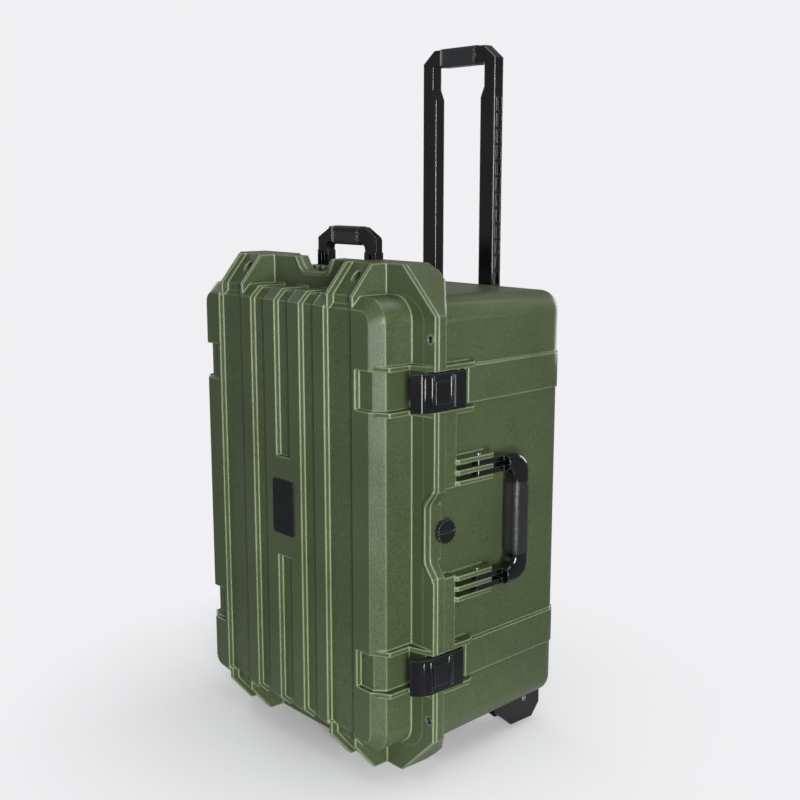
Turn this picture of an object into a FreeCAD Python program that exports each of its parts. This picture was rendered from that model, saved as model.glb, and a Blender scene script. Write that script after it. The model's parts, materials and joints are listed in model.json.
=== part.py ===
import math
import os

import FreeCAD
import Part

# Rolling hard case standing on its end. X runs to the latch side, -Y out of the lid, +Z up.
# Shapes are drawn about the seam plane and the middle of the height, then moved so that the origin
# is on the ground under the middle of the whole box.

# overall sizes
half_height = 315.0
rim_half_width = 222.0
base_depth = 240.0
lid_front = 60.0
wall = 5.0
seam_gap = 0.5

# rims
rim_thick = 5.5
base_rim_thick = 12.0
rim_corner_cut = 56.0

# lid
lid_side_set = 39.0
lid_end_set = 37.0
lid_half_width = rim_half_width - lid_side_set
lid_half_height = half_height - lid_end_set
lid_corner_radius = 28.0
lid_edge_cut = 14.0
rib_relief = 7.0
end_relief = 4.0
relief_edge_cut = 11.0
web_outer_share = 0.754
web_inner_share = 0.47
slot_outer_share = 0.355
slot_inner_share = 0.202
centre_slot_share = 0.0765
web_outer = lid_half_width * web_outer_share
web_inner = lid_half_width * web_inner_share
slot_outer = lid_half_width * slot_outer_share
slot_inner = lid_half_width * slot_inner_share
centre_slot_half = lid_half_width * centre_slot_share
label_pad_half = 66.0
pocket_rib = 6.0
pocket_inner = web_outer + pocket_rib

# wedges that carry the rim at the ends of the lid, and guards at the corners of the base
wedge_set = 2.0
wedge_front = lid_front - wedge_set
wedge_top_y = 27.0
wedge_root = 16.0
wedge_rib = 5.0
wedge_sink = 10.0
wedge_hole_radius = 6.0
wedge_hole_set = 16.0
guard_depth = 44.0
guard_cut = 9.0
guard_knee = 20.0
guard_foot = 56.0

# base
base_side_set = 15.0
base_end_set = 35.0
base_half_width = rim_half_width - base_side_set
base_half_height = half_height - base_end_set
base_taper = 8.0
base_corner_radius = 32.0
base_back_radius = 18.0

# latch and hinge bays
bay_end_set = 120.0
bay_length = 47.0
bay_high = half_height - bay_end_set
bay_low = bay_high - bay_length
bay_rim_step = 1.5
bay_rim_x = base_half_width + bay_rim_step
ridge_thick = 6.0
ridge_lap = 17.0
ridge_root_lap = 11.0
ridge_shoulder = 7.0
ridge_tip_set = 1.0
ridge_start_x = lid_half_width - ridge_lap
ridge_root_x = lid_half_width - ridge_root_lap
ridge_shoulder_x = lid_half_width + ridge_shoulder
ridge_shoulder_y = lid_front - lid_edge_cut
ridge_turn_y = 16.0
ridge_tip_x = rim_half_width - ridge_tip_set
base_ridge_lap = 3.5
base_ridge_flat_y = 57.0
base_ridge_end_y = 64.0
base_ridge_bevel = 4.0
collar_depth = 30.0
collar_set = 0.5
collar_step = 2.5

# raised bands round the base behind the bays
band_step = 2.0
band_height = 5.0
band_front = 60.0
band_low = bay_low + band_step
band_high = bay_high

# hinges
hinge_out = 8.5
hinge_axis_x = rim_half_width + hinge_out
knuckle_radius = 6.5
knuckle_lap = 7.0
knuckle_root_x = rim_half_width - knuckle_lap
knuckle_length = 13.0
lid_knuckle_low = bay_low + knuckle_length
lid_knuckle_high = bay_high - knuckle_length
hinge_pin_radius = 2.5

# dips of the rim round the valve and before the top handle
side_dip_half = 52.0
side_dip_run = 17.5
side_dip_x = base_half_width + bay_rim_step
top_dip_half = 37.0
top_dip_run = 12.0
top_dip_depth = 18.0
top_dip_z = half_height - top_dip_depth
dip_round = 12.0
dip_lip_width = 4.0
dip_lip_depth = 8.0
dip_pad_back = 18.0

# gasket
gasket_set = 2.5
gasket_half_width = base_half_width - gasket_set
gasket_half_height = base_half_height - gasket_set
gasket_radius = 30.0
gasket_half_thick = 1.7
gasket_depth = 4.0

# latches
latch_pin_set = 7.0
latch_pin_x = rim_half_width - latch_pin_set
latch_pin_y = 38.0
latch_pin_radius = 2.5
latch_boss_radius = 6.5
latch_proud = 3.0
latch_outer_x = rim_half_width + latch_proud
latch_plate = 8.5
latch_inner_x = latch_outer_x - latch_plate
latch_heel_set = 11.0
latch_heel_x = rim_half_width - latch_heel_set
latch_heel_y = 31.0
latch_end_bevel = 3.0
latch_bend_y = 11.0
latch_slope_set = 1.5
latch_slope_x = rim_half_width - latch_slope_set
latch_slope_y = 24.0
latch_hook_set = 12.8
latch_hook_x = rim_half_width - latch_hook_set
latch_toe = 2.3
latch_toe_x = latch_hook_x + latch_toe
latch_tip_y = 32.0
latch_side_gap = 1.0
pad_depth = 4.0
pad_front_y = 8.0
pad_back_y = 16.0
pad_half_width = 14.0
pad_proud = 1.2
pad_gap = 0.4
latch_groove_depth = 1.4
latch_groove_half = 1.5
latch_groove_front = 14.0
latch_groove_pitch = 37.0
latch_rail_width = 4.0

# folding handles
handle_pin_radius = 3.0
handle_eye_radius = 7.0
handle_eye_gap = 0.5
arm_thick = 13.0
slot_clear = 12.0
sleeve_proud = 0.8
bracket_crown = 7.0
bracket_round = 3.0
pin_overhang = 1.5
side_pivot_set = 4.0
side_pivot_x = rim_half_width - side_pivot_set
side_pivot_y = 70.0
side_inner = 62.0
side_arm = 6.5
side_rib = 5.5
side_reach = 76.5
side_bar = 26.0
side_thick = 24.0
side_lift = 5.0
side_corner_run = 14.0
side_corner_drop = 14.0
side_outer_round = 22.0
side_inner_round = 13.0
side_edge_round = 8.5
side_sleeve_half = 46.0
side_bracket_front = 41.0
side_bracket_back = 22.0
side_bracket_root = 5.0
top_pivot_set = 14.0
top_pivot_z = base_half_height + top_pivot_set
top_pivot_y = 51.0
top_inner = 37.0
top_arm = 8.0
top_rib = 5.0
top_reach = 58.0
top_bar = 22.0
top_thick = 15.0
top_lift = 0.0
top_corner_run = 24.0
top_corner_drop = 13.0
top_outer_round = 5.0
top_inner_round = 7.0
top_edge_round = 3.0
top_sleeve_half = 27.0
top_bracket_front = 18.0
top_bracket_back = 20.0
top_bracket_root = 4.0

# pressure valve
valve_y = 21.5
valve_body_radius = 12.5
valve_seat_radius = 13.5
valve_stem_radius = 9.0
valve_stem_depth = 4.0
valve_vent_radius = 1.5
valve_cap_radius = 15.0
valve_body_depth = 2.0
valve_cap_depth = 5.0
valve_notch_radius = 1.6
valve_notch_count = 18
valve_slot_half = 1.6
valve_slot_depth = 1.5

# trolley
trolley_out = 2.5
trolley_thick = 18.0
trolley_front = base_depth + trolley_out
trolley_back = trolley_front + trolley_thick
trolley_half_width = 70.0
leg_width = 27.5
head_leg_width = 21.0
trolley_travel = 300.0
trolley_rest = 7.0
trolley_top = base_half_height + trolley_travel + trolley_rest
head_length = 67.0
head_foot_z = trolley_top - head_length
head_slope = 14.0
trolley_bar = 23.0
trolley_corner_x = 22.0
trolley_corner_z = 17.0
leg_edge_round = 3.0
core_pitch = 21.0
core_rib = 4.0
core_wall = 4.5
core_depth = 6.0
trolley_sleeve_half = 34.0
trolley_sleeve_proud = 1.0
tube_wall = 3.5
tube_gap = 0.6
housing_drop = 22.0
housing_top = base_half_height - housing_drop
leg_lap = 33.0
leg_foot_z = housing_top - leg_lap
housing_bottom_gap = 6.0
housing_plate = 40.0
housing_plate_thick = 8.0
housing_lip = 24.0
band_clear = 14.0
screw_head_radius = 5.0
screw_head_depth = 2.5
screw_shank_radius = 1.9
screw_socket_radius = 1.6
screw_inset = 12.0

# wheels
wheel_radius = 36.0
tyre_thick = 10.0
wheel_width = 24.0
wheel_side_set = 34.0
wheel_back_set = 37.0
wheel_outer_x = base_half_width - wheel_side_set
wheel_inner_x = wheel_outer_x - wheel_width
wheel_y = base_depth - wheel_back_set
tyre_edge_cut = 3.0
hub_step = 2.0
axle_radius = 4.0
hub_dish_radius = 20.0
hub_dish_depth = 4.0
hub_boss_radius = 9.0
cheek_thick = 4.0
cheek_gap = 1.0
cheek_front = 52.0
cheek_foot_front = 23.0
cheek_foot_back = 18.0
cheek_back = 32.0
cheek_shoulder = 6.0
cheek_rear_lift = 17.0
cheek_clear = 4.0
roof_thick = 4.0
axle_overhang = 1.5

# small pieces
label_half_width = 22.0
label_half_height = 36.0
label_round = 5.0
label_thick = 1.6
eyelet_set = 7.0
eyelet_end_set = 83.0
eyelet_x = rim_half_width - eyelet_set
eyelet_z = half_height - eyelet_end_set
eyelet_outer_radius = 5.2
eyelet_inner_radius = 3.8
eyelet_proud = 0.4

# working values
overrun = 20.0
running_fit = 0.05
tiny = 0.001

V = FreeCAD.Vector
origin = V(0, 0, 0)
along_x = V(1, 0, 0)
along_y = V(0, 1, 0)
along_z = V(0, 0, 1)
ends = (1, -1)

os.makedirs("parts", exist_ok=True)


def box(x0, x1, y0, y1, z0, z1):
    return Part.makeBox(x1 - x0, y1 - y0, z1 - z0, V(x0, y0, z0))


def rod(radius, start, end):
    axis = end.sub(start)
    return Part.makeCylinder(radius, axis.Length, start, axis)


def prism(points, shift):
    wire = Part.makePolygon(points + [points[0]])
    return Part.Face(wire).extrude(shift)


def plan_prism(points, z0, z1):
    return prism([V(x, y, z0) for x, y in points], V(0, 0, z1 - z0))


def side_prism(points, x0, x1):
    return prism([V(x0, y, z) for y, z in points], V(x1 - x0, 0, 0))


def face_prism(points, y0, y1):
    return prism([V(x, y0, z) for x, z in points], V(0, y1 - y0, 0))


def fuse(shapes):
    return shapes[0].multiFuse(shapes[1:]).removeSplitter()


def cut(shape, tools):
    return shape.cut(Part.makeCompound(tools))


def flip_z(shape):
    return shape.mirror(origin, along_z)


def flip_x(shape):
    return shape.mirror(origin, along_x)


def round_rect(half_x, half_z, radius, y):
    edges = []
    arcs = []
    for quarter, (sx, sz) in enumerate(((1, 1), (-1, 1), (-1, -1), (1, -1))):
        centre = V(sx * (half_x - radius), y, sz * (half_z - radius))
        turn = [math.radians(90 * quarter + step) for step in (0, 45, 90)]
        arcs.append([centre + V(radius * math.cos(a), 0, radius * math.sin(a)) for a in turn])
    for index, arc in enumerate(arcs):
        following = arcs[(index + 1) % len(arcs)]
        edges.append(Part.Arc(arc[0], arc[1], arc[2]).toShape())
        edges.append(Part.makeLine(arc[2], following[0]))
    return Part.Wire(edges)


def round_block(half_x, half_z, radius, y0, y1):
    return Part.Face(round_rect(half_x, half_z, radius, y0)).extrude(V(0, y1 - y0, 0))


def edges_at(shape, y):
    return [e for e in shape.Edges if all(abs(v.Y - y) < tiny for v in e.Vertexes)]


def tub(grow, depth, back_radius):
    half_x, half_z = base_half_width + grow, base_half_height + grow
    radius = base_corner_radius + grow
    in_x, in_z = half_x - radius, half_z - radius
    far_x, far_z = half_x - base_taper, half_z - base_taper
    flank = plan_prism([(-half_x, 0), (half_x, 0), (far_x, base_depth), (-far_x, base_depth)], -in_z, in_z)
    crown = side_prism([(0, -half_z), (0, half_z), (base_depth, far_z), (base_depth, -far_z)], -in_x, in_x)
    posts = [Part.makeCone(radius, radius - base_taper, base_depth, V(sx * in_x, 0, sz * in_z), along_y)
             for sx in ends for sz in ends]
    body = fuse([flank, crown] + posts)
    spare = box(-half_height, half_height, depth, base_depth + overrun, -half_height, half_height)
    body = body.cut(spare)
    return body.makeFillet(back_radius, edges_at(body, depth))


def rim(y0, y1):
    w, h, c = rim_half_width, half_height, rim_corner_cut
    points = [(w, c - h), (w, h - c), (w - c, h), (c - w, h),
              (-w, h - c), (-w, c - h), (c - w, -h), (w - c, -h)]
    return face_prism(points, y0, y1)


def to_top(shape):
    return shape.copy().rotated(origin, along_y, -90)


back_reach = trolley_back + tube_gap + tube_wall
front_reach = lid_front + label_thick
to_frame = V(0, (front_reach - back_reach) / 2, half_height)
seam = seam_gap / 2


def put(name, shapes):
    solids = [solid for shape in shapes for solid in shape.Solids]
    whole = solids[0] if len(solids) == 1 else Part.makeCompound(solids)
    whole.translated(to_frame).exportStep("parts/" + name + ".step")


# dip of the rim, drawn on the latch side


def dip(half, run, floor, edge, grow, y0, y1):
    reach = half + grow
    flat = reach - run
    far = edge + overrun
    points = [(floor - grow, -flat), (edge, -reach), (far, -reach), (far, reach), (edge, reach),
              (floor - grow, flat)]
    block = face_prism(points, y0, y1)
    corners = [e for e in block.Edges if all(abs(v.X - floor + grow) < tiny for v in e.Vertexes)
               and abs(e.Vertexes[0].Z - e.Vertexes[1].Z) < tiny]
    return block.makeFillet(dip_round, corners)


def dip_lip(half, run, floor, edge):
    lip = dip(half, run, floor, edge, dip_lip_width, -dip_lip_depth - seam, -seam)
    return lip.common(box(0, edge, -lid_front, 0, -half_height, half_height))


dip_back = base_rim_thick + seam
side_dip = dip(side_dip_half, side_dip_run, side_dip_x, rim_half_width, 0, -lid_front, dip_back)
top_dip = to_top(dip(top_dip_half, top_dip_run, top_dip_z, half_height, 0, -lid_front, dip_back))


# lid shell


def lid_block(half_x, half_z, radius, front, edge_cut):
    body = round_block(half_x, half_z, radius, -front, -seam)
    return body.makeChamfer(edge_cut, edges_at(body, -front))


def lid_strips():
    tall = half_height
    strips = []
    for low, high in ((centre_slot_half, slot_inner), (slot_outer, web_inner), (web_outer, half_height)):
        strip = box(low, high, -lid_front, 0, -tall, tall)
        strips += [strip, flip_x(strip)]
    strips.append(box(-slot_inner, slot_inner, -lid_front, 0, -label_pad_half, label_pad_half))
    pockets = []
    for side in ends:
        pocket = box(pocket_inner, half_height, -lid_front - overrun, overrun, bay_low, bay_high)
        pocket = pocket if side > 0 else flip_x(pocket)
        pockets += [pocket, flip_z(pocket)]
    return cut(fuse(strips), pockets)


def wedge_side(sink, x0, x1):
    root_z = lid_half_height - wedge_root
    front = sink - wedge_front
    points = [(front, root_z), (front, lid_half_height), (sink - wedge_top_y, half_height),
              (-seam, half_height), (-seam, root_z)]
    return side_prism(points, x0, x1)


def lid_wedge():
    ribs = [wedge_side(0, web_inner, web_inner + wedge_rib), wedge_side(0, web_outer - wedge_rib, web_outer)]
    block = fuse(ribs + [wedge_side(wedge_sink, web_inner, web_outer)])
    middle = (web_inner + web_outer) / 2
    hole_z = half_height - wedge_hole_set
    hole = rod(wedge_hole_radius, V(middle, -lid_front - overrun, hole_z), V(middle, -rim_thick, hole_z))
    return block.cut(hole)


def lid_ridge(z0):
    points = [(ridge_start_x, -lid_front), (ridge_shoulder_x, -ridge_shoulder_y),
              (ridge_shoulder_x, -ridge_turn_y), (ridge_tip_x, -rim_thick), (ridge_tip_x, -seam),
              (ridge_root_x, -seam), (ridge_root_x, -ridge_shoulder_y), (ridge_start_x, -ridge_shoulder_y)]
    return plan_prism(points, z0, z0 + ridge_thick)


def base_ridge(z0):
    root = base_half_width - base_ridge_lap
    points = [(root, seam), (ridge_tip_x, seam), (ridge_tip_x, base_ridge_flat_y),
              (ridge_tip_x - base_ridge_bevel, base_ridge_end_y), (root, base_ridge_end_y)]
    return plan_prism(points, z0, z0 + ridge_thick)


def knuckle(z0, z1, y0, y1):
    barrel = rod(knuckle_radius, V(-hinge_axis_x, 0, z0), V(-hinge_axis_x, 0, z1))
    web = box(-hinge_axis_x, -knuckle_root_x, y0, y1, z0, z1)
    return barrel.fuse(web)


def hinge_bore(radius):
    return rod(radius, V(-hinge_axis_x, 0, bay_low - overrun), V(-hinge_axis_x, 0, bay_high + overrun))


bay_zs = (bay_low - ridge_thick, bay_high)

lid_outer = lid_block(lid_half_width, lid_half_height, lid_corner_radius, lid_front, lid_edge_cut)
lid_relief = lid_block(lid_half_width - end_relief, lid_half_height - end_relief,
                       lid_corner_radius - end_relief, lid_front - rib_relief, relief_edge_cut)
lid_parts = [lid_relief, lid_outer.common(lid_strips()), rim(-rim_thick - seam, -seam)]
lid_parts.append(dip_lip(side_dip_half, side_dip_run, side_dip_x, rim_half_width))
lid_parts.append(to_top(dip_lip(top_dip_half, top_dip_run, top_dip_z, half_height)))
for turn in (lid_wedge(), flip_x(lid_wedge())):
    lid_parts += [turn, flip_z(turn)]
for z0 in bay_zs:
    for ridge in (lid_ridge(z0), flip_x(lid_ridge(z0))):
        lid_parts += [ridge, flip_z(ridge)]
lid_knuckle = knuckle(lid_knuckle_low, lid_knuckle_high, -knuckle_radius, -seam)
lid_parts += [lid_knuckle, flip_z(lid_knuckle)]
lid = fuse(lid_parts)

lid_cavity = lid_block(lid_half_width - end_relief - wall, lid_half_height - end_relief - wall,
                       lid_corner_radius - end_relief - wall, lid_front - rib_relief - wall, relief_edge_cut)
lid_mouth = round_block(lid_half_width - end_relief - wall, lid_half_height - end_relief - wall,
                        lid_corner_radius - end_relief - wall, -rim_thick, overrun)
bay_cut = box(bay_rim_x, half_height, -rim_thick - seam, 0, bay_low, bay_high)
gasket_outer = round_block(gasket_half_width + gasket_half_thick, gasket_half_height + gasket_half_thick,
                           gasket_radius + gasket_half_thick, -gasket_depth - seam, -seam)
gasket_inner = round_block(gasket_half_width - gasket_half_thick, gasket_half_height - gasket_half_thick,
                           gasket_radius - gasket_half_thick, -gasket_depth - overrun, overrun)
gasket = gasket_outer.cut(gasket_inner)
eyelet_hole = rod(eyelet_outer_radius, V(eyelet_x, -overrun, eyelet_z), V(eyelet_x, overrun, eyelet_z))
lid_hinge_bore = hinge_bore(hinge_pin_radius + running_fit)
lid_cuts = [lid_cavity, lid_mouth, bay_cut, flip_z(bay_cut), gasket, lid_hinge_bore, flip_z(lid_hinge_bore),
            eyelet_hole, flip_z(eyelet_hole),
            side_dip, top_dip]
lid = cut(lid, lid_cuts)
put("lid_shell", [lid])
put("lid_gasket", [gasket])

label = round_block(label_half_width, label_half_height, label_round, -lid_front - label_thick, -lid_front)
put("label_plate", [label])


def eyelet(y0, y1):
    tube = rod(eyelet_outer_radius, V(eyelet_x, y0, eyelet_z), V(eyelet_x, y1, eyelet_z))
    hole = rod(eyelet_inner_radius, V(eyelet_x, -overrun, eyelet_z), V(eyelet_x, overrun, eyelet_z))
    tube = tube.cut(hole)
    return [tube, flip_z(tube)]


put("lid_eyelets", eyelet(-rim_thick - seam - eyelet_proud, -seam))
put("base_eyelets", eyelet(seam, base_rim_thick + seam + eyelet_proud))

# handles, drawn folded flat: pivot on Z at the origin, reaching to +Y, outwards is +X


def edges_along_x(shape, reach):
    return [e for e in shape.Edges if abs(e.Vertexes[0].X - e.Vertexes[1].X) > tiny
            and max(v.Y for v in e.Vertexes) > reach]


def handle_frame(inner, arm, rib, reach, bar, thick, lift, run, drop, outer_round, inner_round, edge_round,
                 flat_edges):
    span = inner + arm + rib + arm + handle_eye_gap + handle_eye_gap
    low_x, high_x = lift - thick / 2, lift + thick / 2
    half_arm = arm_thick / 2
    grip_root = reach - bar
    outline = [(0, -span), (reach - drop, -span), (reach, run - span), (reach, span - run),
               (reach - drop, span), (0, span)]
    grip = side_prism(outline, low_x, high_x)
    grip = grip.makeFillet(outer_round, edges_along_x(grip, tiny))
    gap = box(-thick, thick, -overrun, grip_root, -inner, inner).translated(V(lift, 0, 0))
    gap = gap.makeFillet(inner_round, edges_along_x(gap, grip_root - tiny))
    frame = grip.cut(gap)
    long_edges = [e for e in frame.Edges if abs(e.Vertexes[0].X - e.Vertexes[1].X) < tiny
                  and max(v.Y for v in e.Vertexes) > tiny]
    ease = frame.makeChamfer if flat_edges else frame.makeFillet
    frame = ease(edge_round, long_edges)
    root = grip_root - slot_clear
    frame = frame.cut(box(-half_height, half_height, -overrun, root, -half_height, half_height))
    pieces = [frame]
    for low in (inner, inner + arm + rib + handle_eye_gap + handle_eye_gap):
        limb = box(-half_arm, half_arm, 0, root + edge_round, low, low + arm)
        eye = rod(handle_eye_radius, V(0, 0, low), V(0, 0, low + arm))
        pieces += [limb, eye, flip_z(limb), flip_z(eye)]
    frame = fuse(pieces)
    bore_end = V(0, 0, span + overrun)
    return frame.cut(rod(handle_pin_radius + running_fit, bore_end * -1, bore_end))


def handle_sleeve(frame, reach, bar, thick, lift, half_length, edge_round):
    half_thick = thick / 2 + sleeve_proud
    sleeve = box(lift - half_thick, lift + half_thick, reach - bar - sleeve_proud, reach + sleeve_proud,
                 -half_length, half_length)
    long_edges = [e for e in sleeve.Edges if abs(e.Vertexes[0].Z - e.Vertexes[1].Z) > half_length]
    sleeve = sleeve.makeFillet(edge_round + sleeve_proud, long_edges)
    return sleeve.cut(frame)


def handle_ribs(inner, arm, rib, front, back, depth):
    brow = bracket_crown - bracket_round
    points = [(-depth, -front), (brow, -front), (bracket_crown, bracket_round - front),
              (bracket_crown, back - bracket_round), (brow, back), (-depth, back)]
    step = arm + rib + handle_eye_gap + handle_eye_gap
    ribs = []
    for index in range(3):
        low = inner - handle_eye_gap - rib + index * step
        plate = plan_prism(points, low, low + rib)
        ribs += [plate, flip_z(plate)]
    return ribs


def handle_pins(inner, arm, rib):
    span = rib + rib + rib + arm + arm + handle_eye_gap * 4
    start = inner - handle_eye_gap - rib - pin_overhang
    pin = rod(handle_pin_radius, V(0, 0, start), V(0, 0, start + span + pin_overhang + pin_overhang))
    return [pin, flip_z(pin)]


side_place = V(side_pivot_x, side_pivot_y, 0)
top_place = V(0, top_pivot_y, top_pivot_z)

side_frame = handle_frame(side_inner, side_arm, side_rib, side_reach, side_bar, side_thick, side_lift,
                          side_corner_run, side_corner_drop, side_outer_round, side_inner_round,
                          side_edge_round, False)
side_sleeve = handle_sleeve(side_frame, side_reach, side_bar, side_thick, side_lift, side_sleeve_half,
                            side_edge_round)
put("side_handle_frame", [side_frame.translated(side_place)])
put("side_handle_grip", [side_sleeve.translated(side_place)])
side_pins = [s.translated(side_place) for s in handle_pins(side_inner, side_arm, side_rib)]
put("side_handle_pins", side_pins)

top_frame = handle_frame(top_inner, top_arm, top_rib, top_reach, top_bar, top_thick, top_lift,
                         top_corner_run, top_corner_drop, top_outer_round, top_inner_round, top_edge_round,
                         True)
top_sleeve = handle_sleeve(top_frame, top_reach, top_bar, top_thick, top_lift, top_sleeve_half,
                           top_edge_round)


def upright(shape):
    return to_top(shape.rotated(origin, along_z, -90)).translated(top_place)


put("top_handle_frame", [upright(top_frame)])
put("top_handle_grip", [upright(top_sleeve)])
top_pins = [to_top(s).translated(top_place) for s in handle_pins(top_inner, top_arm, top_rib)]
put("top_handle_pins", top_pins)

# base shell


def base_guard(x0, x1):
    low = half_height - guard_foot
    points = [(seam, half_height), (guard_depth - guard_cut, half_height),
              (guard_depth, half_height - guard_cut), (guard_depth, half_height - guard_knee),
              (base_rim_thick, low), (seam, low)]
    return side_prism(points, x0, x1)


wheel_z = wheel_radius - half_height
well_low_x = wheel_inner_x - cheek_gap - cheek_thick
well_high_x = wheel_outer_x + cheek_gap + cheek_thick
well_front_y = wheel_y - cheek_front
roof_z = wheel_z + wheel_radius + cheek_gap + cheek_gap + roof_thick

front_spare = box(-half_height, half_height, -overrun, seam, -half_height, half_height)
base_body = tub(0, base_depth, base_back_radius).cut(front_spare)
base_bands = tub(band_height, base_depth, base_back_radius + band_height)
band_zone = box(-half_height, half_height, band_front, base_depth + overrun, band_low, band_high)
band_clear_x = trolley_half_width + band_clear
band_gap = box(-band_clear_x, band_clear_x, base_depth - base_back_radius, base_depth + overrun,
               0, half_height)
band_zone = band_zone.cut(band_gap)
bands = base_bands.common(Part.makeCompound([band_zone, flip_z(band_zone)]))
rim_plate = rim(seam, base_rim_thick + seam)
guard = base_guard(web_inner, rim_half_width).common(rim(0, guard_depth))
base_parts = [base_body, bands, rim_plate]
for turn in (guard, flip_x(guard)):
    base_parts += [turn, flip_z(turn)]
for z0 in bay_zs:
    base_parts += [base_ridge(z0), flip_z(base_ridge(z0))]
for z0, z1 in ((bay_low, lid_knuckle_low - seam_gap), (lid_knuckle_high + seam_gap, bay_high)):
    piece = knuckle(z0, z1, seam, knuckle_radius)
    base_parts += [piece, flip_z(piece)]
pad_half = side_dip_half - side_dip_run
base_parts.append(box(base_half_width - wall, side_dip_x, seam, dip_pad_back, -pad_half, pad_half))
base_parts.append(rod(valve_seat_radius, V(base_half_width - wall, valve_y, 0), V(side_dip_x, valve_y, 0)))
collar = box(base_half_width - wall, rim_half_width - collar_set, seam, collar_depth,
             side_dip_half + collar_step, bay_low)
base_parts += [collar, flip_z(collar)]
side_ribs = handle_ribs(side_inner, side_arm, side_rib, side_bracket_front, side_bracket_back,
                        side_pivot_x - base_half_width + side_bracket_root)
base_parts += [s.translated(side_place) for s in side_ribs]
top_ribs = handle_ribs(top_inner, top_arm, top_rib, top_bracket_front, top_bracket_back,
                       top_pivot_set + top_bracket_root)
base_parts += [to_top(s).translated(top_place) for s in top_ribs]
base = fuse(base_parts)

cavity = tub(-wall, base_depth - wall, base_back_radius - wall)
well_wall = box(well_low_x - wall, well_high_x + wall, well_front_y - wall, base_depth,
                -base_half_height, roof_z + wall)
well_wall = well_wall.common(base_body)
cavity = cut(cavity, [well_wall, flip_x(well_wall)])
well = box(well_low_x, well_high_x, well_front_y, base_depth + overrun, -half_height, roof_z)
side_bay = box(bay_rim_x, half_height, 0, collar_depth, bay_low, bay_high)
latch_bore = rod(latch_pin_radius, V(latch_pin_x, latch_pin_y, bay_low - ridge_thick - overrun),
                 V(latch_pin_x, latch_pin_y, bay_high + ridge_thick + overrun))
valve_seat = rod(valve_stem_radius, V(side_dip_x - valve_stem_depth, valve_y, 0), V(half_height, valve_y, 0))
valve_vent = rod(valve_vent_radius, V(base_half_width - overrun, valve_y, 0), V(half_height, valve_y, 0))
base_cuts = [cavity, well, flip_x(well), side_bay, flip_z(side_bay), latch_bore, flip_z(latch_bore),
             hinge_bore(hinge_pin_radius), flip_z(hinge_bore(hinge_pin_radius)), valve_seat, valve_vent,
             eyelet_hole, flip_z(eyelet_hole)]
base_cuts += [side_dip, top_dip]
base_cuts += side_pins + top_pins

# trolley housing: two guide tubes, plates across and screws


def tube_at(grow, z0, z1):
    low = trolley_half_width - leg_width
    return box(low - grow, trolley_half_width + grow, trolley_front - grow, trolley_back + grow, z0, z1)


housing_bottom = leg_foot_z - trolley_travel - housing_bottom_gap
tube = tube_at(tube_gap + tube_wall, housing_bottom - tube_wall, housing_top)
tube = tube.common(box(0, half_height, base_depth, base_depth + half_height, -half_height, half_height))
bore = tube_at(tube_gap, housing_bottom, housing_top + overrun)
plate_half = trolley_half_width + housing_lip
plate_back = base_depth + housing_plate_thick
plates = []
screw_spots = []
for z0 in (housing_top - housing_plate, housing_bottom - tube_wall):
    plates.append(box(-plate_half, plate_half, base_depth, plate_back, z0, z0 + housing_plate))
    for sx in ends:
        for z in (z0 + screw_inset, z0 + housing_plate - screw_inset):
            screw_spots.append(V(sx * (plate_half - screw_inset), plate_back, z))
housing = fuse([tube, flip_x(tube)] + plates)
shanks = [rod(screw_shank_radius, V(p.x, base_depth - wall, p.z), p) for p in screw_spots]
housing = cut(housing, [bore, flip_x(bore)] + shanks)
put("trolley_housing", [housing])

screws = []
for spot, shank in zip(screw_spots, shanks):
    head = rod(screw_head_radius, spot, spot + V(0, screw_head_depth, 0))
    socket = rod(screw_socket_radius, spot + V(0, screw_head_depth / 2, 0), spot + V(0, overrun, 0))
    screws.append(head.fuse(shank).cut(socket))
put("housing_screws", screws)

base = cut(base, base_cuts + shanks)
put("base_shell", [base])

hinge_pin = rod(hinge_pin_radius, V(-hinge_axis_x, 0, bay_low), V(-hinge_axis_x, 0, bay_high))
put("hinge_pins", [hinge_pin, flip_z(hinge_pin)])
latch_pin = rod(latch_pin_radius, V(latch_pin_x, latch_pin_y, bay_low - ridge_thick),
                V(latch_pin_x, latch_pin_y, bay_high + ridge_thick))
put("latch_pins", [latch_pin, flip_z(latch_pin)])

# pressure valve

valve_face = side_dip_x
valve_step = valve_face + valve_body_depth
valve_body = rod(valve_body_radius, V(valve_face, valve_y, 0), V(valve_step, valve_y, 0))
valve_stem = rod(valve_stem_radius, V(valve_face - valve_stem_depth, valve_y, 0), V(valve_step, valve_y, 0))
put("valve_body", [valve_body.fuse(valve_stem)])
cap_face = valve_step + valve_cap_depth
cap = rod(valve_cap_radius, V(valve_step, valve_y, 0), V(cap_face, valve_y, 0))
notches = []
for index in range(valve_notch_count):
    angle = math.radians(360 * index / valve_notch_count)
    spot = V(0, valve_y + valve_cap_radius * math.cos(angle), valve_cap_radius * math.sin(angle))
    notch_start = spot + V(valve_step - overrun, 0, 0)
    notches.append(rod(valve_notch_radius, notch_start, spot + V(cap_face + overrun, 0, 0)))
slot = box(cap_face - valve_slot_depth, cap_face + overrun, valve_y - valve_body_radius,
           valve_y + valve_body_radius, -valve_slot_half, valve_slot_half)
put("valve_cap", [cut(cap, notches + [slot])])

# latches


latch_middle = (bay_low + bay_high) / 2
latch_low = bay_low + latch_side_gap
latch_high = bay_high - latch_side_gap
latch_end_y = latch_pin_y + latch_boss_radius
pad_floor_x = latch_outer_x - pad_depth


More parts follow.
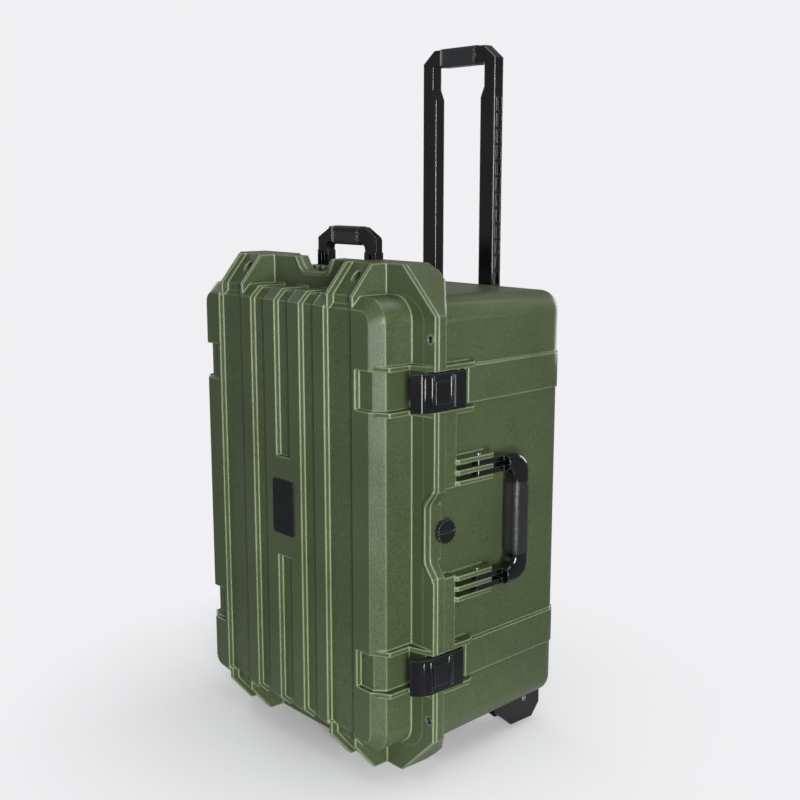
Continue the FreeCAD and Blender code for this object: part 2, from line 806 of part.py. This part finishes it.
def latch_body():
    points = [(latch_heel_x, latch_heel_y), (latch_pin_x, latch_end_y),
              (latch_outer_x - latch_end_bevel, latch_end_y), (latch_outer_x, latch_end_y - latch_end_bevel),
              (latch_outer_x, -latch_bend_y), (latch_slope_x, -latch_slope_y), (latch_toe_x, -latch_tip_y),
              (latch_hook_x, -latch_tip_y), (latch_hook_x, -latch_slope_y), (latch_inner_x, -latch_bend_y),
              (latch_inner_x, latch_bend_y)]
    body = plan_prism(points, latch_low, latch_high)
    boss = rod(latch_boss_radius, V(latch_pin_x, latch_pin_y, latch_low),
               V(latch_pin_x, latch_pin_y, latch_high))
    body = body.fuse(boss).removeSplitter()
    pocket = box(pad_floor_x, latch_outer_x + overrun, -pad_front_y, pad_back_y,
                 latch_middle - pad_half_width, latch_middle + pad_half_width)
    bore = rod(latch_pin_radius + running_fit, V(latch_pin_x, latch_pin_y, latch_low - overrun),
               V(latch_pin_x, latch_pin_y, latch_high + overrun))
    grooves = []
    for y in (-latch_groove_front, latch_groove_pitch - latch_groove_front):
        grooves.append(box(latch_outer_x - latch_groove_depth, latch_outer_x + overrun,
                           y - latch_groove_half, y + latch_groove_half,
                           latch_low + latch_rail_width, latch_high - latch_rail_width))
    return cut(body, [pocket, bore] + grooves)


def latch_pad():
    half = pad_half_width - pad_gap
    return box(pad_floor_x, latch_outer_x + pad_proud, pad_gap - pad_front_y, pad_back_y - pad_gap,
               latch_middle - half, latch_middle + half)


for name, place in (("upper", lambda s: s), ("lower", flip_z)):
    put(name + "_latch_body", [place(latch_body())])
    put(name + "_latch_pad", [place(latch_pad())])

# trolley frame


def trolley_frame():
    w, top = trolley_half_width, trolley_top
    knee = w - leg_width
    neck = w - head_leg_width
    bar_low = top - trolley_bar
    half = [(w, leg_foot_z), (w, top - trolley_corner_z), (w - trolley_corner_x, top), (0, top),
            (0, bar_low), (neck, bar_low), (neck, head_foot_z + head_slope), (knee, head_foot_z),
            (knee, leg_foot_z)]
    side = face_prism(half, trolley_front, trolley_back)
    frame = side.fuse(flip_x(side)).removeSplitter()
    rims = [e for e in frame.Edges if abs(e.Vertexes[0].Y - e.Vertexes[1].Y) < tiny
            and max(v.Z for v in e.Vertexes) > leg_foot_z + tiny]
    frame = frame.makeFillet(leg_edge_round, rims)
    cores = []
    count = int((head_foot_z - leg_foot_z) / core_pitch)
    for index in range(count):
        z0 = leg_foot_z + core_rib + index * core_pitch
        core = box(w - core_depth, w + overrun, trolley_front + core_wall, trolley_back - core_wall,
                   z0, z0 + core_pitch - core_rib)
        cores += [core, flip_x(core)]
    return cut(frame, cores)


frame_shape = trolley_frame()
put("trolley_frame", [frame_shape])
sleeve = box(-trolley_sleeve_half, trolley_sleeve_half, trolley_front - trolley_sleeve_proud,
             trolley_back + trolley_sleeve_proud, trolley_top - trolley_bar - trolley_sleeve_proud,
             trolley_top + trolley_sleeve_proud)
sleeve_edges = [e for e in sleeve.Edges if abs(e.Vertexes[0].X - e.Vertexes[1].X) > trolley_sleeve_half]
sleeve = sleeve.makeFillet(leg_edge_round + trolley_sleeve_proud, sleeve_edges)
put("trolley_grip", [sleeve.cut(frame_shape)])

# wheels


tyre_inner_radius = wheel_radius - tyre_thick


def wheel_bracket():
    front_y, back_y = wheel_y - cheek_front, wheel_y + cheek_back
    foot_z = cheek_clear - half_height
    points = [(front_y, roof_z), (front_y, -base_half_height - cheek_shoulder),
              (wheel_y - cheek_foot_front, foot_z), (wheel_y + cheek_foot_back, foot_z),
              (back_y, foot_z + cheek_rear_lift), (back_y, roof_z)]
    inner = side_prism(points, well_low_x, well_low_x + cheek_thick)
    outer = side_prism(points, well_high_x - cheek_thick, well_high_x)
    roof = box(well_low_x, well_high_x, front_y, back_y, roof_z - roof_thick, roof_z)
    body = fuse([inner, outer, roof])
    return body.cut(rod(axle_radius, V(0, wheel_y, wheel_z), V(half_height, wheel_y, wheel_z)))


def wheel_tyre():
    tyre = rod(wheel_radius, V(wheel_inner_x, wheel_y, wheel_z), V(wheel_outer_x, wheel_y, wheel_z))
    tyre = tyre.makeChamfer(tyre_edge_cut, [e for e in tyre.Edges if len(e.Vertexes) == 1])
    return tyre.cut(rod(tyre_inner_radius, V(0, wheel_y, wheel_z), V(half_height, wheel_y, wheel_z)))


def wheel_hub():
    low, high = wheel_inner_x + hub_step, wheel_outer_x - hub_step
    hub = rod(tyre_inner_radius, V(low, wheel_y, wheel_z), V(high, wheel_y, wheel_z))
    ring = rod(hub_dish_radius, V(high - hub_dish_depth, wheel_y, wheel_z),
               V(high + overrun, wheel_y, wheel_z))
    ring = ring.cut(rod(hub_boss_radius, V(0, wheel_y, wheel_z), V(half_height, wheel_y, wheel_z)))
    boss = rod(hub_boss_radius, V(wheel_inner_x, wheel_y, wheel_z), V(wheel_outer_x, wheel_y, wheel_z))
    hub = hub.cut(ring).fuse(boss).removeSplitter()
    return hub.cut(rod(axle_radius + running_fit, V(0, wheel_y, wheel_z), V(half_height, wheel_y, wheel_z)))


bracket = wheel_bracket()
put("wheel_brackets", [bracket, flip_x(bracket)])
axle = rod(axle_radius, V(well_low_x, wheel_y, wheel_z), V(well_high_x + axle_overhang, wheel_y, wheel_z))
put("wheel_axles", [axle, flip_x(axle)])
put("right_wheel_tyre", [wheel_tyre()])
put("right_wheel_hub", [wheel_hub()])
put("left_wheel_tyre", [flip_x(wheel_tyre())])
put("left_wheel_hub", [flip_x(wheel_hub())])
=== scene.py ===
import json
import math

import bmesh
import bpy
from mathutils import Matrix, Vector


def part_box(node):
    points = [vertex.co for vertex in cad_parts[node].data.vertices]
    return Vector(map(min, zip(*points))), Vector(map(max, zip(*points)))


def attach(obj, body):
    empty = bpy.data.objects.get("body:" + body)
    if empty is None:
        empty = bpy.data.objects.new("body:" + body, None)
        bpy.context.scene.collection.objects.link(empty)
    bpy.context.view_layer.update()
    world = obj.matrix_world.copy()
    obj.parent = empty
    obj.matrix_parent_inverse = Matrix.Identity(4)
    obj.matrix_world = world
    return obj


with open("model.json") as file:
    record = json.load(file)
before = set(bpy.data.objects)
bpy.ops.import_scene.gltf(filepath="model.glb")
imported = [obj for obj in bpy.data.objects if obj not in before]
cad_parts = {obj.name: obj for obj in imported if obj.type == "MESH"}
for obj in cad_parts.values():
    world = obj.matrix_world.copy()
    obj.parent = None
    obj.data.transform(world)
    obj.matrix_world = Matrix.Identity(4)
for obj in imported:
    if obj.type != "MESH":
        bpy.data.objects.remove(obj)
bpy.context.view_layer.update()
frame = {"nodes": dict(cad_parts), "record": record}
nodes = frame["nodes"]
mm = 0.001
print("frame loaded:", len(nodes), "nodes")


def linear(hexColour):
    # sRGB hex to linear RGBA
    values = [int(hexColour[i:i + 2], 16) / 255 for i in (1, 3, 5)]
    values = [v / 12.92 if v <= 0.04045 else ((v + 0.055) / 1.055) ** 2.4 for v in values]
    return (*values, 1.0)


def addNode(tree, kind, settings=None, links=None):
    # one node, its settings by property or socket, and (node, output) pairs linked to its inputs
    node = tree.nodes.new(kind)
    for name, value in (settings or {}).items():
        if isinstance(name, int) or name in node.inputs:
            node.inputs[name].default_value = value
        else:
            setattr(node, name, value)
    for name, (source, output) in (links or {}).items():
        tree.links.new(source.outputs[output], node.inputs[name])
    return node


# camera fitted to the photograph's edges
camera = {
    "place": (1.1706, -1.0011, 0.7218),
    "look": (-0.7357, 0.6520, -0.1836),
    "lens": 52.26,
    "sensor": 36.0,
}


def makeCamera():
    data = bpy.data.cameras.new("camera")
    data.sensor_width = camera["sensor"]
    data.lens = camera["lens"]
    item = bpy.data.objects.new("camera", data)
    item.location = camera["place"]
    item.rotation_mode = "QUATERNION"
    item.rotation_quaternion = Vector(camera["look"]).to_track_quat("-Z", "Y")
    bpy.context.scene.collection.objects.link(item)
    bpy.context.scene.camera = item


makeCamera()
bpy.context.scene.view_settings.view_transform = "Standard"
print("camera set")

# what all surfaces share: spans are (low, high) of the noise, and flatMatch is how alike the true and the
# rounded normal are where a face still counts as flat
surface = {
    "cloudSpan": (0.35, 0.65), "noiseSpan": (0.3, 0.7), "edgePatchSpan": (0.25, 0.6), "edgePatchShare": (0.55, 1.0),
    "cloudDetail": 4.0, "grainDetail": 2.0, "edgeSamples": 6, "flatMatch": 0.995,
}
# sockets of the colour mix node, whose names are not unique
mixFirst, mixSecond, mixResult = 6, 7, 2


def addRange(tree, source, output, start, end=(0.0, 1.0)):
    # maps the span start to the span end, held at both ends
    return addNode(tree, "ShaderNodeMapRange",
                   {"From Min": start[0], "From Max": start[1], "To Min": end[0], "To Max": end[1]},
                   {"Value": (source, output)})


def makeSurface(look):
    # colour clouds, a fine grain, and lighter edges over one shader, which on the shell are a painted highlight
    material = bpy.data.materials.new(look["name"])
    material.use_nodes = True
    tree = material.node_tree
    shader = tree.nodes["Principled BSDF"]
    for socket, value in look["shader"].items():
        shader.inputs[socket].default_value = value
    place = addNode(tree, "ShaderNodeTexCoord")
    cloud = addNode(tree, "ShaderNodeTexNoise",
                    {"Scale": 1 / look["cloudSize"], "Detail": surface["cloudDetail"]},
                    {"Vector": (place, "Object")})
    grain = addNode(tree, "ShaderNodeTexNoise",
                    {"Scale": 1 / look["grainSize"], "Detail": surface["grainDetail"]},
                    {"Vector": (place, "Object")})
    spread = addRange(tree, cloud, 0, surface["cloudSpan"])
    tone = addNode(tree, "ShaderNodeMix",
                   {"data_type": "RGBA", mixFirst: linear(look["dark"]), mixSecond: linear(look["light"])},
                   {0: (spread, 0)})
    speckle = addRange(tree, grain, 0, surface["noiseSpan"], (1 - look["speckle"], 1 + look["speckle"]))
    flecked = addNode(tree, "ShaderNodeVectorMath", {"operation": "SCALE"},
                      {0: (tone, mixResult), "Scale": (speckle, 0)})
    rounded = addNode(tree, "ShaderNodeBevel", {"samples": surface["edgeSamples"], "Radius": look["edgeRadius"]})
    flat = addNode(tree, "ShaderNodeNewGeometry")
    match = addNode(tree, "ShaderNodeVectorMath", {"operation": "DOT_PRODUCT"},
                    {0: (rounded, 0), 1: (flat, "Normal")})
    # the edge colour goes where the rounded normal turns away from the true one, made patchy by the clouds; on
    # the shell it is a painted highlight
    edge = addRange(tree, match, "Value", (surface["flatMatch"], look["edgeTurn"]), (0.0, look["edgeWearAndHighlight"]))
    edgePatches = addRange(tree, cloud, 0, surface["edgePatchSpan"], surface["edgePatchShare"])
    wearAndHighlight = addNode(tree, "ShaderNodeMath", {"operation": "MULTIPLY"}, {0: (edge, 0), 1: (edgePatches, 0)})
    colour = addNode(tree, "ShaderNodeMix", {"data_type": "RGBA", mixSecond: linear(look["wearAndHighlight"])},
                     {0: (wearAndHighlight, 0), mixFirst: (flecked, 0)})
    sheen = addRange(tree, cloud, 0, surface["noiseSpan"], look["roughness"])
    bump = addNode(tree, "ShaderNodeBump",
                   {"Strength": look["grainStrength"], "Distance": look["grainHeight"]},
                   {"Height": (grain, 0), "Normal": (rounded, 0)})
    tree.links.new(colour.outputs[mixResult], shader.inputs["Base Color"])
    tree.links.new(sheen.outputs[0], shader.inputs["Roughness"])
    tree.links.new(bump.outputs[0], shader.inputs["Normal"])
    return material


# shell: injection moulded polypropylene against a spark-eroded tool, so a fine matt grain that breaks up
# highlights, and edges painted paler as a highlight; grain and painted edge highlight are drawn about three
# times as coarse
shellLook = {
    "name": "mouldedPolypropylene", "dark": "#414c30", "light": "#485436", "wearAndHighlight": "#b9c9a0",
    "speckle": 0.38, "cloudSize": 140 * mm, "grainSize": 1.6 * mm, "grainHeight": 0.25 * mm,
    "grainStrength": 0.35, "edgeRadius": 3.8 * mm, "edgeTurn": 0.80, "edgeWearAndHighlight": 0.72,
    "roughness": (0.30, 0.42), "shader": {"Specular IOR Level": 0.5},
}

# latches, handle frames and trolley: glass-filled nylon from a polished tool, so deep black with clear
# long highlights and greyed edges
nylonLook = {
    "name": "polishedBlackNylon", "dark": "#050607", "light": "#0a0b0d", "wearAndHighlight": "#6b7076",
    "speckle": 0.15, "cloudSize": 60 * mm, "grainSize": 2.0 * mm, "grainHeight": 0.12 * mm,
    "grainStrength": 0.20, "edgeRadius": 1.6 * mm, "edgeTurn": 0.75, "edgeWearAndHighlight": 0.55,
    "roughness": (0.10, 0.20), "shader": {"Specular IOR Level": 0.55},
}

# grips: soft rubber moulded over the bar against a smooth tool, so one broad highlight broken by a faint
# grain; its wide edge radius rounds the shading over the whole bar
gripLook = {
    "name": "overmouldedSoftRubber", "dark": "#0d0e0f", "light": "#16181a", "wearAndHighlight": "#4a4d50",
    "speckle": 0.25, "cloudSize": 40 * mm, "grainSize": 2.2 * mm, "grainHeight": 0.35 * mm,
    "grainStrength": 0.35, "edgeRadius": 8.0 * mm, "edgeTurn": 0.55, "edgeWearAndHighlight": 0.12,
    "roughness": (0.16, 0.24), "shader": {"Specular IOR Level": 1.0},
}

# tyres: polyurethane cast in an open mould, so matt and even, with scuffed edges a little paler
tyreLook = {
    "name": "castPolyurethane", "dark": "#131415", "light": "#202122", "wearAndHighlight": "#57585a",
    "speckle": 0.20, "cloudSize": 25 * mm, "grainSize": 1.5 * mm, "grainHeight": 0.3 * mm,
    "grainStrength": 0.4, "edgeRadius": 1.5 * mm, "edgeTurn": 0.75, "edgeWearAndHighlight": 0.4,
    "roughness": (0.55, 0.75), "shader": {"Specular IOR Level": 0.4},
}

# pins, screws and eyelets: turned from stainless bar, so bright metal with a faint uneven grain and a bright rim
steelLook = {
    "name": "turnedStainless", "dark": "#8d9092", "light": "#b2b5b7", "wearAndHighlight": "#dfe2e4",
    "speckle": 0.06, "cloudSize": 12 * mm, "grainSize": 0.8 * mm, "grainHeight": 0.05 * mm,
    "grainStrength": 0.25, "edgeRadius": 0.5 * mm, "edgeTurn": 0.8, "edgeWearAndHighlight": 0.5,
    "roughness": (0.22, 0.38), "shader": {"Metallic": 1.0},
}

# gasket: neoprene extruded as a cord, so dull and even
gasketLook = {
    "name": "extrudedNeoprene", "dark": "#0f0f10", "light": "#17171a", "wearAndHighlight": "#3a3a3c",
    "speckle": 0.12, "cloudSize": 30 * mm, "grainSize": 1.2 * mm, "grainHeight": 0.1 * mm,
    "grainStrength": 0.3, "edgeRadius": 0.6 * mm, "edgeTurn": 0.75, "edgeWearAndHighlight": 0.2,
    "roughness": (0.6, 0.75), "shader": {"Specular IOR Level": 0.4},
}

# label plate: a bare blank milled from acetal and left satin, so a soft sheen and paler edges
labelLook = {
    "name": "satinAcetalPlate", "dark": "#0a0b0d", "light": "#121417", "wearAndHighlight": "#6b7075",
    "speckle": 0.10, "cloudSize": 20 * mm, "grainSize": 1.4 * mm, "grainHeight": 0.1 * mm,
    "grainStrength": 0.25, "edgeRadius": 0.9 * mm, "edgeTurn": 0.75, "edgeWearAndHighlight": 0.55,
    "roughness": (0.26, 0.36), "shader": {"Specular IOR Level": 0.3},
}

slotLooks = {
    "shell": shellLook, "black_plastic": nylonLook, "soft_grip": gripLook, "tyre": tyreLook,
    "steel": steelLook, "gasket": gasketLook, "label": labelLook,
}
slotMaterials = {slot: makeSurface(look) for slot, look in slotLooks.items()}
slotOf = {part["node"]: part["material_slot"] for part in frame["record"]["subparts"]}
for name, item in nodes.items():
    item.data.materials.clear()
    item.data.materials.append(slotMaterials[slotOf[name]])
print("materials set:", len(slotMaterials))

# moulded corners are never sharp: a small real radius on the larger mouldings, angles in degrees
softening = {"merge": 0.01 * mm, "level": 0.5, "sharp": 40, "segments": 2}
edges = {
    "base_shell": 1.2 * mm, "lid_shell": 1.2 * mm,
    "upper_latch_body": 0.9 * mm, "lower_latch_body": 0.9 * mm,
    "upper_latch_pad": 0.6 * mm, "lower_latch_pad": 0.6 * mm, "wheel_brackets": 0.8 * mm,
    "trolley_housing": 0.8 * mm, "label_plate": 0.5 * mm,
}


def softenEdges(item, width):
    weld = item.modifiers.new("weld", "WELD")
    weld.merge_threshold = softening["merge"]
    panels = item.modifiers.new("panels", "DECIMATE")
    panels.decimate_type = "DISSOLVE"
    panels.angle_limit = math.radians(softening["level"])
    corner = item.modifiers.new("corner", "BEVEL")
    corner.width = width
    corner.segments = softening["segments"]
    corner.limit_method = "ANGLE"
    corner.angle_limit = math.radians(softening["sharp"])
    corner.use_clamp_overlap = True


for name, width in edges.items():
    softenEdges(nodes[name], width)
print("edges softened:", len(edges))

# moulded finger ribs across each latch: rows are (place along the latch, height of the face there), and
# ends are (distance from the end in radii, share of the radius there)
latchRibs = {
    "radius": 3.2 * mm, "sunk": 1.8 * mm, "margin": 1.5 * mm, "sides": 16,
    "ends": [(0.0, 0.25), (0.3, 0.75), (1.0, 1.0)],
    "rows": [(-121.0 * mm, 222.1 * mm), (-112.2 * mm, 224.6 * mm), (-82.5 * mm, 225.0 * mm)],
}


def makeLatchRibs(name, body):
    low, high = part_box(body + "_body")
    radius, sides = latchRibs["radius"], latchRibs["sides"]
    bottom, top = low[2] + latchRibs["margin"], high[2] - latchRibs["margin"]
    rings = [(bottom + inset * radius, share) for inset, share in latchRibs["ends"]]
    rings += [(top - inset * radius, share) for inset, share in reversed(latchRibs["ends"])]
    turns = [2 * math.pi * i / sides for i in range(sides)]
    shape = bmesh.new()
    for along, face in latchRibs["rows"]:
        loops = []
        for height, share in rings:
            reach = radius * share
            loops.append([shape.verts.new((face - latchRibs["sunk"] + reach * math.cos(turn),
                                           along + reach * math.sin(turn), height)) for turn in turns])
        for lower, upper in zip(loops, loops[1:]):
            for i in range(sides):
                j = (i + 1) % sides
                shape.faces.new((lower[i], lower[j], upper[j], upper[i])).smooth = True
        shape.faces.new(loops[0][::-1])
        shape.faces.new(loops[-1])
    mesh = bpy.data.meshes.new(name)
    shape.to_mesh(mesh)
    shape.free()
    mesh.materials.append(slotMaterials["black_plastic"])
    item = bpy.data.objects.new(name, mesh)
    bpy.context.scene.collection.objects.link(item)
    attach(item, body)


for name, body in (("upperLatchRibs", "upper_latch"), ("lowerLatchRibs", "lower_latch")):
    makeLatchRibs(name, body)
print("latch ribs added")

# pale paper that fades into the backdrop between near and far
floor = {"half": 4.0, "drop": 0.2 * mm, "colour": "#fbfbfb", "near": 0.05, "far": 0.54}


def makeFloor():
    half = floor["half"]
    mesh = bpy.data.meshes.new("floor")
    corners = [(-half, -half, 0), (half, -half, 0), (half, half, 0), (-half, half, 0)]
    mesh.from_pydata(corners, [], [(0, 1, 2, 3)])
    item = bpy.data.objects.new("floor", mesh)
    item.location.z = -floor["drop"]
    bpy.context.scene.collection.objects.link(item)
    material = bpy.data.materials.new("studioPaper")
    material.use_nodes = True
    tree = material.node_tree
    tree.nodes.clear()
    place = addNode(tree, "ShaderNodeTexCoord")
    reach = addNode(tree, "ShaderNodeVectorMath", {"operation": "LENGTH"}, {0: (place, "Object")})
    fade = addRange(tree, reach, "Value", (floor["near"], floor["far"]))
    paper = addNode(tree, "ShaderNodeBsdfDiffuse", {"Color": linear(floor["colour"])})
    clear = addNode(tree, "ShaderNodeBsdfTransparent")
    mixed = addNode(tree, "ShaderNodeMixShader", None, {0: (fade, 0), 1: (paper, 0), 2: (clear, 0)})
    addNode(tree, "ShaderNodeOutputMaterial", None, {"Surface": (mixed, 0)})
    mesh.materials.append(material)


makeFloor()
print("floor laid")

# a tall softbox at the front right, weaker ones over the lid, behind and at the hinges, and an overhead panel;
# the tall one reaches below the floor, which is clear out there, so upright bars catch it along their length
lamps = {
    "keyBox": {"place": (2.00, -1.30, 0.50), "aim": (0.1, 0.0, 0.30), "size": (0.50, 1.3), "power": 67},
    "lidBox": {"place": (-0.9, -2.3, 1.2), "aim": (0.0, 0.0, 0.30), "size": (1.0, 1.4), "power": 2},
    "backBox": {"place": (0.2, 2.7, 1.0), "aim": (0.0, 0.0, 0.30), "size": (1.4, 1.4), "power": 28},
    "hingeBox": {"place": (-2.5, 0.3, 1.0), "aim": (0.0, 0.0, 0.30), "size": (1.2, 1.4), "power": 19},
    "topBox": {"place": (0.4, 0.2, 2.4), "aim": (0.0, 0.0, 0.30), "size": (1.6, 1.6), "power": 17},
}


def makeLamp(name, lamp):
    data = bpy.data.lights.new(name, "AREA")
    data.shape = "RECTANGLE"
    data.size, data.size_y = lamp["size"]
    data.energy = lamp["power"]
    item = bpy.data.objects.new(name, data)
    item.location = lamp["place"]
    item.rotation_mode = "QUATERNION"
    item.rotation_quaternion = (Vector(lamp["aim"]) - Vector(lamp["place"])).to_track_quat("-Z", "Y")
    bpy.context.scene.collection.objects.link(item)


for name, lamp in lamps.items():
    makeLamp(name, lamp)

# seen is the backdrop's own colour, fill the light it gives, mirrored the share of it that gloss shows
backdrop = {"seen": "#f0f0f2", "fill": "#e8ecf0", "strength": 0.18, "mirrored": 0.15}


def makeWorld():
    world = bpy.data.worlds.new("studio")
    bpy.context.scene.world = world
    world.use_nodes = True
    tree = world.node_tree
    tree.nodes.clear()
    rays = addNode(tree, "ShaderNodeLightPath")
    fill = addNode(tree, "ShaderNodeBackground",
                   {"Color": linear(backdrop["fill"]), "Strength": backdrop["strength"]})
    seen = addNode(tree, "ShaderNodeBackground", {"Color": linear(backdrop["seen"])})
    direct = addNode(tree, "ShaderNodeMath", {"operation": "MULTIPLY_ADD", 1: backdrop["mirrored"]},
                     {0: (rays, "Is Glossy Ray"), 2: (rays, "Is Camera Ray")})
    shown = addNode(tree, "ShaderNodeMath", {"operation": "MAXIMUM"},
                    {0: (direct, 0), 1: (rays, "Is Transmission Ray")})
    mixed = addNode(tree, "ShaderNodeMixShader", None, {0: (shown, 0), 1: (fill, 0), 2: (seen, 0)})
    addNode(tree, "ShaderNodeOutputWorld", None, {"Surface": (mixed, 0)})


makeWorld()
print("lights set:", len(lamps))
